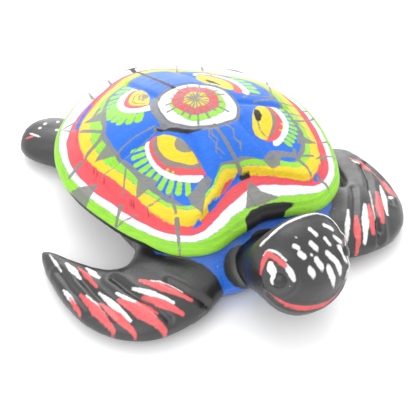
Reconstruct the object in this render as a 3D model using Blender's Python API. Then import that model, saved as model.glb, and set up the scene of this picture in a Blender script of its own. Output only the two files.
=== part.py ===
"""Painted sea turtle figure in hand-built ceramic: a hollow belly shell closed by a domed carapace, with the head,
four flippers and the tail luted into sockets in the belly shell's wall, and a pellet eye pressed into each side of
the head. Metres, +Z up, the head towards -Y. The figure stands on its belly at Z = 0, and the origin is the middle
of its outline seen from above. Outlines and stations below are in millimetres, as drawn, about the middle of the
figure; MM turns them into metres."""

import math

import bmesh
import bpy
import numpy as np
from mathutils import Vector

MM = 0.001

# Carapace. Each outline lists its left half seen from above, from the front notch to the rear tip.
CARAPACE_LENGTH = 126.0 * MM
CARAPACE_WIDTH = 117.0 * MM
SHELL_CENTRE_Y = 15.0
RIM_OUTLINE = [
    (0.0, -39.5), (12.0, -42.0), (24.0, -44.5), (36.0, -39.5), (46.0, -27.0), (53.0, -11.0), (57.5, 5.0),
    (58.5, 18.0), (56.5, 33.0), (51.0, 46.5), (41.0, 59.0), (26.0, 71.5), (10.0, 80.0), (0.0, 81.5),
]
PLATE_OUTLINE = [
    (0.0, -22.0), (8.0, -25.0), (16.0, -30.0), (24.0, -34.0), (32.0, -31.0), (39.0, -21.0), (44.0, -7.0),
    (47.0, 7.0), (47.5, 19.0), (45.5, 32.0), (40.5, 43.0), (31.5, 54.0), (19.5, 64.0), (8.0, 71.0), (0.0, 72.5),
]
WALL = 5.0 * MM
RIM_THICKNESS = 5.0 * MM
SEAT_Z = 17.5 * MM  # the belly shell's top edge, where the carapace rests
# Each of these pairs holds at the front and at the rear, where the margin flares up and the dome runs out flatter
REAR_FROM, REAR_FULL = 95.0, 140.0  # degrees from the front where the change to the rear's value starts and ends
RIM_LIFT = (0.0 * MM, 1.5 * MM)  # how much thicker the rim is than RIM_THICKNESS
MARGIN_SLOPE = (0.38, 0.08)  # how steeply the marginal band climbs from the rim's top to the foot of the plates
PLATE_STEP = (2.6 * MM, 0.9 * MM)  # the raised plates stand this much over the marginal band
DOME_POWER = (1.7, 1.5)
PLATE_STEP_RUN = 1.2 * MM
DOME_TOP_Z = 44.9 * MM
DOME_CALM_TURN = 40.0  # the dome's middle follows the plates' outline averaged over this many degrees each way
LIP_DEPTH = 3.0 * MM  # the lip under the carapace drops this much inside the belly shell
LIP_THICKNESS = 2.5 * MM

# Belly shell. This outline is its widest level, at BODY_Z.
BODY_OUTLINE = [
    (0.0, -53.5), (12.0, -55.0), (22.0, -54.0), (31.0, -47.5), (38.5, -34.0), (44.0, -16.0), (46.5, 6.0),
    (46.0, 24.0), (42.5, 40.0), (34.0, 54.0), (21.0, 65.0), (8.0, 70.5), (0.0, 71.5),
]
BODY_Z = 8.0 * MM
RIM_OVERHANG = 2.5 * MM  # the belly shell's top edge stands at least this far inside the rim
SEAT_TAPER = 1.0 * MM  # and at least this far inside its own widest level
SOLE_INSET = 7.0 * MM  # the flat sole stands this far inside the widest level
VENT_RADIUS = 4.0 * MM
VENT_Y = 24.0

JOINT_GAP = 0.3 * MM  # slip line between two pieces
LIMB_GAP = 0.6 * MM  # slip line between a limb and the sloping side of the belly shell
SOCKET_CLEARANCE = 0.4 * MM  # slip round a tenon in its socket

# A limb's stations run from its root, inside the belly shell, to its tip. A flipper's station is its front edge
# (x, y), its rear edge (x, y), its thickness and the height of its middle.
FRONT_FLIPPER_STATIONS = [
    ((17.0, -44.0), (36.0, -14.0), 13.0, 8.2),
    ((25.0, -53.5), (43.0, -18.0), 14.5, 8.8),
    ((34.0, -58.0), (46.0, -24.0), 14.5, 8.6),
    ((45.0, -59.5), (51.0, -28.0), 13.0, 8.0),
    ((56.0, -58.0), (56.5, -26.5), 11.5, 7.4),
    ((66.0, -51.5), (60.5, -22.5), 10.0, 6.8),
    ((73.0, -41.0), (64.5, -17.0), 8.6, 6.2),
    ((76.5, -28.0), (68.5, -11.0), 7.2, 5.6),
    ((77.5, -15.0), (72.0, -4.8), 5.6, 5.0),
    ((77.2, -7.0), (74.4, -2.2), 4.2, 4.6),
    ((76.4, -2.6), (75.4, -1.4), 2.4, 4.4),
]
REAR_FLIPPER_STATIONS = [
    ((40.0, 29.0), (27.0, 54.0), 9.0, 8.2),
    ((47.0, 37.0), (35.0, 65.0), 10.5, 8.6),
    ((53.5, 45.0), (42.0, 74.0), 10.0, 8.4),
    ((59.0, 52.0), (49.5, 78.0), 8.6, 7.8),
    ((62.8, 59.0), (56.5, 77.0), 6.8, 7.0),
    ((64.0, 65.0), (60.5, 73.5), 4.6, 6.2),
    ((63.6, 68.0), (62.4, 70.5), 2.6, 5.8),
]
LEFT_FLIPPER_SHIFT = (-4.5, -3.2)  # the front flippers are set by hand, the left one this much further in and forward
LEFT_FLIPPER_WEB = (-6.0, 3.0)  # and its blade is this much broader on the side of the shell
FLIPPER_TILT = 1.6 * MM  # a flipper's rear edge stands this much over its middle, and its front edge under it

# A station of the head or the tail is its y, the height and half width of its widest level, and how far it
# reaches above and below that.
HEAD_STATIONS = [
    (-40.0, 9.5, 12.0, 4.0, 5.0),
    (-47.0, 12.5, 15.0, 8.0, 8.6),
    (-53.0, 16.5, 17.0, 13.0, 13.0),
    (-57.5, 19.5, 18.0, 18.0, 15.8),
    (-61.5, 21.5, 18.2, 17.8, 16.0),
    (-66.5, 21.5, 17.6, 16.8, 13.6),
    (-71.0, 20.5, 16.4, 15.2, 11.6),
    (-74.8, 19.6, 14.4, 12.6, 10.2),
    (-77.6, 18.8, 11.2, 9.4, 8.2),
    (-79.4, 18.2, 7.0, 6.0, 5.6),
    (-80.2, 18.0, 2.6, 2.4, 2.4),
]
HEAD_TURN = 3.5  # degrees towards the figure's right, from the shoulders on
TAIL_STATIONS = [
    (62.0, 8.5, 7.0, 4.0, 4.5),
    (70.0, 8.0, 6.5, 4.4, 5.0),
    (78.0, 7.0, 5.0, 3.6, 4.6),
    (84.5, 5.6, 3.0, 2.4, 3.4),
    (88.0, 4.6, 1.0, 1.0, 1.4),
]
ROUNDNESS = 0.86  # power on a section's sine and cosine: 1 is an ellipse, less is squarer

EYE_RADIUS = 4.2 * MM
EYE_PLACE = (11.6, -70.5, 27.0)  # middle of the left-hand pellet

# Each socket: its angle round the shell's centre from the front, its height, the tenon's half width and half
# height, and how far the tenon reaches inside and outside the belly shell's widest level.
FRONT_FLIPPER_SOCKET = (36.0, 8.2, 8.0, 4.2, 9.0, 5.0)
REAR_FLIPPER_SOCKET = (124.0, 8.2, 6.5, 3.6, 9.0, 5.0)
NECK_SOCKET = (0.0, 10.5, 4.5, 4.0, 15.0, 4.0)
TAIL_SOCKET = (180.0, 8.0, 3.2, 2.6, 9.0, 4.0)

SHELL_SEGMENTS = 64
LIMB_SEGMENTS = 20
TENON_SEGMENTS = 24
EYE_SEGMENTS = 20

LENGTH_SCALE = CARAPACE_LENGTH / MM / (max(y for x, y in RIM_OUTLINE) - min(y for x, y in RIM_OUTLINE))
WIDTH_SCALE = CARAPACE_WIDTH / MM / (2 * max(x for x, y in RIM_OUTLINE))

ANGLES = np.arange(SHELL_SEGMENTS) * math.tau / SHELL_SEGMENTS  # from the front, towards +X
ACROSS = np.column_stack([np.sin(ANGLES), -np.cos(ANGLES)])
CENTRE = np.array([0.0, SHELL_CENTRE_Y * MM * LENGTH_SCALE])


def smooth(knots, values, places):
    """A smooth curve through the knots, read at the places."""
    knots, values, places = (np.asarray(each, float) for each in (knots, values, places))
    flat = values.reshape(len(knots), -1)
    slopes = np.gradient(flat, knots, axis=0)
    index = np.clip(np.searchsorted(knots, places, side="right") - 1, 0, len(knots) - 2)
    span = (knots[index + 1] - knots[index])[:, None]
    t = (places - knots[index])[:, None] / span
    found = (
        (2 * t**3 - 3 * t**2 + 1) * flat[index]
        + (t**3 - 2 * t**2 + t) * span * slopes[index]
        + (3 * t**2 - 2 * t**3) * flat[index + 1]
        + (t**3 - t**2) * span * slopes[index + 1]
    )
    return found.reshape((len(places),) + values.shape[1:])


def outline_radius(outline, angles=ANGLES):
    """How far the outline stands from the shell's centre in each direction."""
    half = np.array(outline) * (WIDTH_SCALE, LENGTH_SCALE) * MM - CENTRE
    turn = np.arctan2(half[:, 0], -half[:, 1])
    reach = np.hypot(half[:, 0], half[:, 1])
    turn = np.concatenate([-turn[:0:-1], turn, math.tau - turn[-2::-1]])
    reach = np.concatenate([reach[:0:-1], reach, reach[-2::-1]])
    return smooth(turn, reach, np.asarray(angles) % math.tau)


def ring(reach, height):
    """A ring round the shell's centre: its reach and height may differ in each direction."""
    flat = CENTRE + ACROSS * np.broadcast_to(reach, ANGLES.shape)[:, None]
    return np.column_stack([flat, np.broadcast_to(height, ANGLES.shape)])


def section(middle, across, up, rise, fall, segments=LIMB_SEGMENTS):
    """A rounded ring about middle: across and up are its half axes' directions, across with its length."""
    turn = np.arange(segments) * math.tau / segments
    side = np.sign(np.cos(turn)) * np.abs(np.cos(turn)) ** ROUNDNESS
    lift = np.sign(np.sin(turn)) * np.abs(np.sin(turn)) ** ROUNDNESS
    lift = np.where(lift > 0, rise, fall) * lift
    return np.asarray(middle) + side[:, None] * np.asarray(across) + lift[:, None] * np.asarray(up)


def loft(name, rings, collection):
    """One closed body through the rings, each end closed by a fan."""
    bm = bmesh.new()
    loops = [[bm.verts.new(point) for point in points] for points in rings]
    for low, high in zip(loops, loops[1:]):
        for i in range(len(low)):
            j = (i + 1) % len(low)
            bm.faces.new((low[i], low[j], high[j], high[i]))
    for loop, points in ((loops[0], rings[0]), (loops[-1], rings[-1])):
        tip = bm.verts.new(np.mean(points, axis=0))
        for i in range(len(loop)):
            bm.faces.new((loop[i], loop[(i + 1) % len(loop)], tip))
    bmesh.ops.recalc_face_normals(bm, faces=bm.faces)
    if bm.calc_volume(signed=True) < 0:
        bmesh.ops.reverse_faces(bm, faces=bm.faces)
    return add(name, bm, collection)


def add(name, bm, collection):
    bmesh.ops.triangulate(bm, faces=bm.faces)  # a bent quad could be split one way here and another in a Boolean
    mesh = bpy.data.meshes.new(name)
    bm.to_mesh(mesh)
    bm.free()
    mesh.shade_smooth()
    mesh.set_sharp_from_angle(angle=math.radians(40))
    obj = bpy.data.objects.new(name, mesh)
    collection.objects.link(obj)
    obj.parent = whole
    if collection is cutters:
        obj.hide_render = True
        obj.display_type = "WIRE"
    return obj


def boolean(obj, other, operation):
    modifier = obj.modifiers.new(f"{operation.lower()}_{other.name}", "BOOLEAN")
    modifier.operation = operation
    modifier.object = other
    modifier.solver = "MANIFOLD"


def paint(obj, color, roughness):
    material = bpy.data.materials.new(obj.name)
    material.use_nodes = True
    shader = material.node_tree.nodes["Principled BSDF"]
    shader.inputs["Base Color"].default_value = (*color, 1.0)
    shader.inputs["Roughness"].default_value = roughness
    shader.inputs["Metallic"].default_value = 0.0
    obj.data.materials.append(material)
    return obj


# The shells


def front_to_rear(pair):
    """The value in each direction of something that differs between the front and the rear."""
    away = np.degrees(np.minimum(ANGLES, math.tau - ANGLES))
    share = np.clip((away - REAR_FROM) / (REAR_FULL - REAR_FROM), 0, 1)
    return pair[0] + (pair[1] - pair[0]) * share**2 * (3 - 2 * share)


def outer_height(reach):
    """Height of the carapace's upper face, at this reach in each direction."""
    plate = outline_radius(PLATE_OUTLINE)
    rim = outline_radius(RIM_OUTLINE)
    turns = np.radians(np.linspace(-DOME_CALM_TURN, DOME_CALM_TURN, 9))
    calm = np.mean([outline_radius(PLATE_OUTLINE, ANGLES + turn) for turn in turns], axis=0)
    rim_top = SEAT_Z + JOINT_GAP + RIM_THICKNESS + front_to_rear(RIM_LIFT)
    slope = front_to_rear(MARGIN_SLOPE)
    foot = rim_top + slope * (rim - plate - PLATE_STEP_RUN)
    drop = DOME_TOP_Z - foot - front_to_rear(PLATE_STEP)
    edge_share = np.clip(reach / plate, 0, 1)
    share = np.clip(reach / (calm + (plate - calm) * edge_share**3), 0, 1)
    on_plate = DOME_TOP_Z - drop * share ** front_to_rear(DOME_POWER)
    on_margin = rim_top + slope * np.clip(rim - reach, 0, rim - plate - PLATE_STEP_RUN)
    return np.where(reach <= plate, on_plate, on_margin)


def seat_reach():
    """Reach of the belly shell's top edge."""
    return np.minimum(outline_radius(RIM_OUTLINE) - RIM_OVERHANG, outline_radius(BODY_OUTLINE) - SEAT_TAPER)


def carapace():
    plate = outline_radius(PLATE_OUTLINE)
    rim = outline_radius(RIM_OUTLINE)
    margin = rim - plate - PLATE_STEP_RUN
    bottom = SEAT_Z + JOINT_GAP
    round_edge = RIM_THICKNESS / 2
    half_height = (RIM_THICKNESS + front_to_rear(RIM_LIFT)) / 2
    rings = [ring(plate * share, outer_height(plate * share)) for share in (0.1, 0.25, 0.42, 0.6, 0.78, 0.92, 1)]
    for share in (0, 0.4, 0.75):
        reach = plate + PLATE_STEP_RUN + (margin - round_edge) * share
        rings.append(ring(reach, outer_height(reach)))
    for degrees in (75, 40, 0, -40, -90):
        turn = math.radians(degrees)
        reach = rim - round_edge * (1 - math.cos(turn))
        rings.append(ring(reach, bottom + half_height * (1 + math.sin(turn))))
    lip_outside = seat_reach() - WALL - SOCKET_CLEARANCE
    lip_inside = lip_outside - LIP_THICKNESS
    rings.append(ring(lip_outside, bottom))
    rings.append(ring(lip_outside, bottom - LIP_DEPTH))
    rings.append(ring(lip_inside, bottom - LIP_DEPTH))
    for share in (1, 0.88, 0.7, 0.5, 0.3, 0.12):
        reach = lip_inside * share
        rings.append(ring(reach, outer_height(reach) - WALL))
    return loft("carapace", rings, figure)


def body_rings(grow=0.0, wall=0.0):
    """The belly shell's side from the sole to the seat, moved out by grow or in by wall."""
    widest = outline_radius(BODY_OUTLINE)
    seat = seat_reach()
    sole = widest - SOLE_INSET
    low = np.maximum(wall, -grow)
    rings = []
    for share in (0, 0.25, 0.6, 1):
        reach = sole + (widest - sole) * math.sin(share * math.pi / 2)
        rings.append(ring(reach + grow - wall, low + (BODY_Z - low) * (1 - math.cos(share * math.pi / 2))))
    for share in (0.35, 0.7, 1):
        reach = widest + (seat - widest) * share
        rings.append(ring(reach + grow - wall, BODY_Z + (SEAT_Z - BODY_Z) * share))
    return rings


def belly_shell():
    shell = loft("belly_shell", body_rings() + body_rings(wall=WALL)[::-1], figure)
    bm = bmesh.new()
    bmesh.ops.create_cone(
        bm, cap_ends=True, segments=TENON_SEGMENTS, radius1=VENT_RADIUS, radius2=VENT_RADIUS, depth=4 * WALL
    )
    bmesh.ops.translate(bm, verts=bm.verts, vec=(0.0, VENT_Y * MM * LENGTH_SCALE, 0.0))
    boolean(shell, add("vent", bm, cutters), "DIFFERENCE")
    return shell


def envelope():
    """Everything that a limb keeps LIMB_GAP away from: the belly shell, and the carapace's rim over it."""
    rings = body_rings(grow=LIMB_GAP)
    rings[0][:, 2] = -WALL
    over = outline_radius(RIM_OUTLINE) + LIMB_GAP
    rings.append(ring(over, SEAT_Z))
    rings.append(ring(over, SEAT_Z + RIM_THICKNESS + LIMB_GAP))
    return loft("envelope", rings, cutters)


# The limbs


def socket_frame(socket):
    """Where the socket's axis meets the belly shell's widest level, and its outward and sideways directions."""
    turn = math.radians(socket[0])
    reach = outline_radius(BODY_OUTLINE, [turn])[0]
    outward = np.array([math.sin(turn), -math.cos(turn), 0.0])
    sideways = np.array([math.cos(turn), math.sin(turn), 0.0])
    place = np.array([*CENTRE, socket[1] * MM]) + outward * reach
    return place, outward, sideways


def tenon(name, socket, side, grow):
    place, outward, sideways = socket_frame(socket)
    half_width, half_height, inside, outside = (each * MM for each in socket[2:])
    rings = []
    for reach in (-inside - grow, outside + grow):
        rings.append(section(
            place + outward * reach, sideways * (half_width + grow), (0, 0, 1),
            half_height + grow, half_height + grow, TENON_SEGMENTS,
        ))
    return loft(name, [points * (side, 1, 1) for points in rings], cutters)


def join(limb, shell, keep_out, socket, side):
    """Cuts the limb back from the shells, adds its tenon and cuts the socket for it."""
    boolean(limb, keep_out, "DIFFERENCE")
    boolean(limb, tenon(f"{limb.name}_tenon", socket, side, 0.0), "UNION")
    boolean(shell, tenon(f"{limb.name}_socket", socket, side, SOCKET_CLEARANCE), "DIFFERENCE")


def moved_with(socket):
    """How far a change of the shell's size moves a socket from where the stations are drawn."""
    place = socket_frame(socket)[0]
    return place[:2] * (1 - 1 / WIDTH_SCALE, 1 - 1 / LENGTH_SCALE)


def flipper(name, stations, socket, side, set_by, web):
    data = np.array([[*front, *rear, thick, height] for front, rear, thick, height in stations]) * MM
    places = np.linspace(0, len(stations) - 1, 2 * len(stations) - 1)
    data = smooth(np.arange(len(stations)), data, places)
    rings = []
    for place, (front_x, front_y, rear_x, rear_y, thick, height) in zip(places, data):
        shift = moved_with(socket) + np.array(set_by) * MM * min(1.0, place / 2)
        broader = np.array(web) * MM * min(1.0, max(0.0, (place - 3) / 4))
        tilt = FLIPPER_TILT * thick / data[0, 4]
        front = np.array([front_x + shift[0], front_y + shift[1], height - tilt])
        rear = np.array([rear_x + shift[0] + broader[0], rear_y + shift[1] + broader[1], height + tilt])
        points = section((front + rear) / 2, (front - rear) / 2, (0, 0, 1), thick / 2, thick / 2)
        rings.append(points * (side, 1, 1))
    return loft(name, rings, figure)


def turned(y):
    """How far the turn of the head carries a point at this y towards -X."""
    root = HEAD_STATIONS[1][0] * MM
    return -max(0.0, root - y) * math.tan(math.radians(HEAD_TURN))


def trunk(name, stations, socket):
    """The head or the tail: a row of rounded sections along Y."""
    data = np.array(stations) * MM
    places = np.linspace(0, len(stations) - 1, 2 * len(stations) - 1)
    shift = moved_with(socket)[1]
    rings = []
    for y, height, half_width, rise, fall in smooth(np.arange(len(stations)), data, places):
        rings.append(section((turned(y), y + shift, height), (half_width, 0, 0), (0, 0, 1), rise, fall))
    return loft(name, rings, figure)


def eye(name, head, side):
    """A pellet, and the hollow that it was pressed into."""
    place = Vector(EYE_PLACE) * MM
    place.x = place.x * side + turned(place.y)
    place.y += moved_with(NECK_SOCKET)[1]
    made = []
    for label, radius, where in ((name, EYE_RADIUS, figure), (f"{name}_hollow", EYE_RADIUS + JOINT_GAP, cutters)):
        bm = bmesh.new()
        bmesh.ops.create_uvsphere(bm, u_segments=EYE_SEGMENTS, v_segments=EYE_SEGMENTS // 2, radius=radius)
        bmesh.ops.translate(bm, verts=bm.verts, vec=place)
        made.append(add(label, bm, where))
    boolean(head, made[1], "DIFFERENCE")
    return made[0]


def centre_on_origin():
    """Moves the whole figure so that the origin is the middle of its outline seen from above."""
    bpy.context.view_layer.update()
    graph = bpy.context.evaluated_depsgraph_get()
    corners = []
    for obj in figure.objects:
        if obj.type == "MESH":
            corners += [Vector(corner) for corner in obj.evaluated_get(graph).bound_box]
    for axis in (0, 1):
        values = [corner[axis] for corner in corners]
        whole.location[axis] = -(min(values) + max(values)) / 2


for old in list(bpy.data.objects):
    bpy.data.objects.remove(old, do_unlink=True)

figure = bpy.data.collections.new("sea_turtle_figure")
cutters = bpy.data.collections.new("cutters")
for collection in (figure, cutters):
    bpy.context.scene.collection.children.link(collection)
whole = bpy.data.objects.new("sea_turtle", None)
figure.objects.link(whole)

LIME = (0.28, 0.62, 0.03)
BLUE = (0.02, 0.09, 0.65)
BLACK = (0.016, 0.016, 0.018)

belly = paint(belly_shell(), BLUE, 0.5)
paint(carapace(), LIME, 0.4)
keep_out = envelope()
head = paint(trunk("head", HEAD_STATIONS, NECK_SOCKET), BLACK, 0.4)
join(head, belly, keep_out, NECK_SOCKET, 1)
tail = paint(trunk("tail", TAIL_STATIONS, TAIL_SOCKET), BLACK, 0.45)
join(tail, belly, keep_out, TAIL_SOCKET, 1)
for side, word in ((-1, "right"), (1, "left")):
    paint(eye(f"eye_{word}", head, side), BLACK, 0.2)
    as_drawn = ((0.0, 0.0), (0.0, 0.0))
    front_set = (LEFT_FLIPPER_SHIFT, LEFT_FLIPPER_WEB) if word == "left" else as_drawn
    for name, stations, socket, (set_by, web) in (
        (f"front_flipper_{word}", FRONT_FLIPPER_STATIONS, FRONT_FLIPPER_SOCKET, front_set),
        (f"rear_flipper_{word}", REAR_FLIPPER_STATIONS, REAR_FLIPPER_SOCKET, as_drawn),
    ):
        limb = paint(flipper(name, stations, socket, side, set_by, web), BLACK, 0.45)
        join(limb, belly, keep_out, socket, side)
centre_on_origin()
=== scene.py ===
"""Looks of the painted ceramic sea turtle figure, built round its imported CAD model.

Everything is worked out in millimetres in the drawing's own frame, where the shell's rim runs from y = -44.5
to y = 81.5 and the head points towards -Y, and it moves to the model's frame only when a mesh is made."""

import math

import bpy
import numpy as np
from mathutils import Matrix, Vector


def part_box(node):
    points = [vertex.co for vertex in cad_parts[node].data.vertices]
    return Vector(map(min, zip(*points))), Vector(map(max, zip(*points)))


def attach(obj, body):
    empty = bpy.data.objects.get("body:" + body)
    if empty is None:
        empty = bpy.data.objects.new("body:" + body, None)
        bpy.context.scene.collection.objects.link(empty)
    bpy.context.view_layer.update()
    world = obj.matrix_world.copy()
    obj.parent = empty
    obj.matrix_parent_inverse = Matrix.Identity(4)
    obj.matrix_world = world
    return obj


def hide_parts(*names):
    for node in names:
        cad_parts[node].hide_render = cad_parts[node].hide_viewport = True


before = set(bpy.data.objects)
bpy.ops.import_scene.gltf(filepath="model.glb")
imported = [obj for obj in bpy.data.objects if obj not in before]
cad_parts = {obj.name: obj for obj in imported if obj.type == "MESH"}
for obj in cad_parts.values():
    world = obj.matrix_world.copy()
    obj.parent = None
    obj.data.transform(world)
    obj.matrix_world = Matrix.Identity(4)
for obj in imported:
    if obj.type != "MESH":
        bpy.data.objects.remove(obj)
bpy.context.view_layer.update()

import openvdb as vdb
from mathutils import Matrix, Vector

MM = 0.001
SHELL_MIDDLE_Y = 18.5  # the middle of the carapace, in the drawing's frame
SHELL_CENTRE = np.array([0.0, 15.0])  # outlines are read as a reach from here

low, high = (np.array(corner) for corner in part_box("carapace"))
SHIFT = np.array([(low[0] + high[0]) / 2 / MM, (low[1] + high[1]) / 2 / MM - SHELL_MIDDLE_Y, 0.0])

# The same outlines and stations as the CAD model's

RIM_OUTLINE = [
    (0, -39.5), (12, -42), (24, -44.5), (36, -39.5), (46, -27), (53, -11), (57.5, 5), (58.5, 18), (56.5, 33),
    (51, 46.5), (41, 59), (26, 71.5), (10, 80), (0, 81.5),
]
PLATE_OUTLINE = [
    (0, -22), (8, -25), (16, -30), (24, -34), (32, -31), (39, -21), (44, -7), (47, 7), (47.5, 19), (45.5, 32),
    (40.5, 43), (31.5, 54), (19.5, 64), (8, 71), (0, 72.5),
]
BODY_OUTLINE = [
    (0, -53.5), (12, -55), (22, -54), (31, -47.5), (38.5, -34), (44, -16), (46.5, 6), (46, 24), (42.5, 40),
    (34, 54), (21, 65), (8, 70.5), (0, 71.5),
]
RIM_BOTTOM, RIM_THICKNESS = 17.8, 5.0
REAR_FROM, REAR_FULL = 95.0, 140.0
# Each a pair, at the front and at the rear
RIM_LIFT, MARGIN_SLOPE, PLATE_STEP, DOME_POWER = (0.0, 1.5), (0.38, 0.08), (2.6, 0.9), (1.7, 1.5)
PLATE_STEP_RUN, DOME_TOP_Z, DOME_CALM_TURN = 1.2, 44.9, 40.0
BODY_Z, SEAT_Z, SOLE_INSET, RIM_OVERHANG, SEAT_TAPER = 8.0, 17.5, 7.0, 2.5, 1.0

FRONT_FLIPPER_STATIONS = [
    ((17, -44), (36, -14), 13, 8.2),
    ((25, -53.5), (43, -18), 14.5, 8.8),
    ((34, -58), (46, -24), 14.5, 8.6),
    ((45, -59.5), (51, -28), 13, 8),
    ((56, -58), (56.5, -26.5), 11.5, 7.4),
    ((66, -51.5), (60.5, -22.5), 10, 6.8),
    ((73, -41), (64.5, -17), 8.6, 6.2),
    ((76.5, -28), (68.5, -11), 7.2, 5.6),
    ((77.5, -15), (72, -4.8), 5.6, 5),
    ((77.2, -7), (74.4, -2.2), 4.2, 4.6),
    ((76.4, -2.6), (75.4, -1.4), 2.4, 4.4),
]
REAR_FLIPPER_STATIONS = [
    ((40, 29), (27, 54), 9, 8.2),
    ((47, 37), (35, 65), 10.5, 8.6),
    ((53.5, 45), (42, 74), 10, 8.4),
    ((59, 52), (49.5, 78), 8.6, 7.8),
    ((62.8, 59), (56.5, 77), 6.8, 7),
    ((64, 65), (60.5, 73.5), 4.6, 6.2),
    ((63.6, 68), (62.4, 70.5), 2.6, 5.8),
]
LEFT_FLIPPER_SHIFT, LEFT_FLIPPER_WEB = (-4.5, -3.2), (-6.0, 3.0)
FLIPPER_TILT = 1.6
HEAD_STATIONS = [
    (-40, 9.5, 12, 4, 5),
    (-47, 12.5, 15, 8, 8.6),
    (-53, 16.5, 17, 13, 13),
    (-57.5, 19.5, 18, 18, 15.8),
    (-61.5, 21.5, 18.2, 17.8, 16),
    (-66.5, 21.5, 17.6, 16.8, 13.6),
    (-71, 20.5, 16.4, 15.2, 11.6),
    (-74.8, 19.6, 14.4, 12.6, 10.2),
    (-77.6, 18.8, 11.2, 9.4, 8.2),
    (-79.4, 18.2, 7, 6, 5.6),
    (-80.2, 18, 2.6, 2.4, 2.4),
]
HEAD_TURN, HEAD_TURN_FROM_Y = 3.5, -47.0
TAIL_STATIONS = [
    (62, 8.5, 7, 4, 4.5),
    (70, 8, 6.5, 4.4, 5),
    (78, 7, 5, 3.6, 4.6),
    (84.5, 5.6, 3, 2.4, 3.4),
    (88, 4.6, 1, 1, 1.4),
]
ROUNDNESS = 0.86
EYE_RADIUS, EYE_PLACE = 4.2, (11.6, -70.5, 27.0)

# How fine the meshes are

SHELL_TURNS = 480
LIMB_TURNS = 48
BAND_VOXELS = 9
# A voxel's size and the block's low and high corners, coarser for the body than for the head and front limbs
WHOLE_SPACE = 0.8, (-84.0, -86.0, -5.0), (80.0, 94.0, 46.0)
FRONT_SPACE = 0.5, (-82.0, -85.0, -3.0), (78.0, 8.0, 44.0)
BLEND = 3.5  # the hand-smoothed clay fillet between the body and a limb, in mm
SINK, OVERLAP = 0.25, 1.2  # where two pieces meet, each runs on under the other this deep and this far


# Curves and lofts


def smooth(knots, values, places):
    """A smooth curve through the knots, read at the places."""
    knots, values, places = (np.asarray(each, float) for each in (knots, values, places))
    flat = values.reshape(len(knots), -1)
    slopes = np.gradient(flat, knots, axis=0)
    index = np.clip(np.searchsorted(knots, places, side="right") - 1, 0, len(knots) - 2)
    span = (knots[index + 1] - knots[index])[:, None]
    t = (places - knots[index])[:, None] / span
    found = (
        (2 * t**3 - 3 * t**2 + 1) * flat[index]
        + (t**3 - 2 * t**2 + t) * span * slopes[index]
        + (3 * t**2 - 2 * t**3) * flat[index + 1]
        + (t**3 - t**2) * span * slopes[index + 1]
    )
    return found.reshape((len(places),) + values.shape[1:])


def outline_radius(outline, angles):
    """How far the outline stands from the shell's centre in each direction, from the front towards +X."""
    half = np.array(outline) - SHELL_CENTRE
    turn = np.arctan2(half[:, 0], -half[:, 1])
    reach = np.hypot(half[:, 0], half[:, 1])
    turn = np.concatenate([-turn[:0:-1], turn, math.tau - turn[-2::-1]])
    reach = np.concatenate([reach[:0:-1], reach, reach[-2::-1]])
    return smooth(turn, reach, np.asarray(angles) % math.tau)


def front_to_rear(pair, angles):
    away = np.degrees(np.minimum(angles % math.tau, math.tau - angles % math.tau))
    share = np.clip((away - REAR_FROM) / (REAR_FULL - REAR_FROM), 0, 1)
    return pair[0] + (pair[1] - pair[0]) * share**2 * (3 - 2 * share)


def dome_height(reach, angles):
    """Height of the carapace's upper face before its scutes are pressed in."""
    plate = outline_radius(PLATE_OUTLINE, angles)
    rim = outline_radius(RIM_OUTLINE, angles)
    turns = np.radians(np.linspace(-DOME_CALM_TURN, DOME_CALM_TURN, 9))
    calm = np.mean([outline_radius(PLATE_OUTLINE, angles + turn) for turn in turns], axis=0)
    rim_top = RIM_BOTTOM + RIM_THICKNESS + front_to_rear(RIM_LIFT, angles)
    slope = front_to_rear(MARGIN_SLOPE, angles)
    foot = rim_top + slope * (rim - plate - PLATE_STEP_RUN)
    drop = DOME_TOP_Z - foot - front_to_rear(PLATE_STEP, angles)
    edge_share = np.clip(reach / plate, 0, 1)
    share = np.clip(reach / (calm + (plate - calm) * edge_share**3), 0, 1)
    on_plate = DOME_TOP_Z - drop * share ** front_to_rear(DOME_POWER, angles)
    on_margin = rim_top + slope * np.clip(rim - reach, 0, rim - plate - PLATE_STEP_RUN)
    return np.where(reach <= plate, on_plate, on_margin)


def section(middle, across, up, rise, fall):
    turn = np.arange(LIMB_TURNS) * math.tau / LIMB_TURNS
    side = np.sign(np.cos(turn)) * np.abs(np.cos(turn)) ** ROUNDNESS
    lift = np.sign(np.sin(turn)) * np.abs(np.sin(turn)) ** ROUNDNESS
    lift = np.where(lift > 0, rise, fall) * lift
    return np.asarray(middle) + side[:, None] * np.asarray(across) + lift[:, None] * np.asarray(up)


def loft(rings):
    """Points and triangles of a closed body through rings of one size."""
    count = len(rings[0])
    points = np.concatenate([*rings, [rings[0].mean(axis=0)], [rings[-1].mean(axis=0)]])
    here = np.arange(count)
    after = (here + 1) % count
    faces = []
    for row in range(len(rings) - 1):
        a, b = row * count, (row + 1) * count
        faces.append(np.column_stack([a + here, a + after, b + after]))
        faces.append(np.column_stack([a + here, b + after, b + here]))
    last = (len(rings) - 1) * count
    faces.append(np.column_stack([after, here, np.full(count, len(points) - 2)]))
    faces.append(np.column_stack([last + here, last + after, np.full(count, len(points) - 1)]))
    return outward(points, np.concatenate(faces))


def outward(points, faces):
    corners = points[faces]
    across = np.cross(corners[:, 1] - corners[:, 0], corners[:, 2] - corners[:, 0])
    volume = np.einsum("ij,ij->i", corners.mean(axis=1), across).sum()
    return points, (faces[:, ::-1] if volume < 0 else faces)


def ring(reach, height, angles):
    flat = SHELL_CENTRE + np.column_stack([np.sin(angles), -np.cos(angles)]) * np.asarray(reach)[:, None]
    return np.column_stack([flat, np.broadcast_to(height, angles.shape)])


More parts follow.
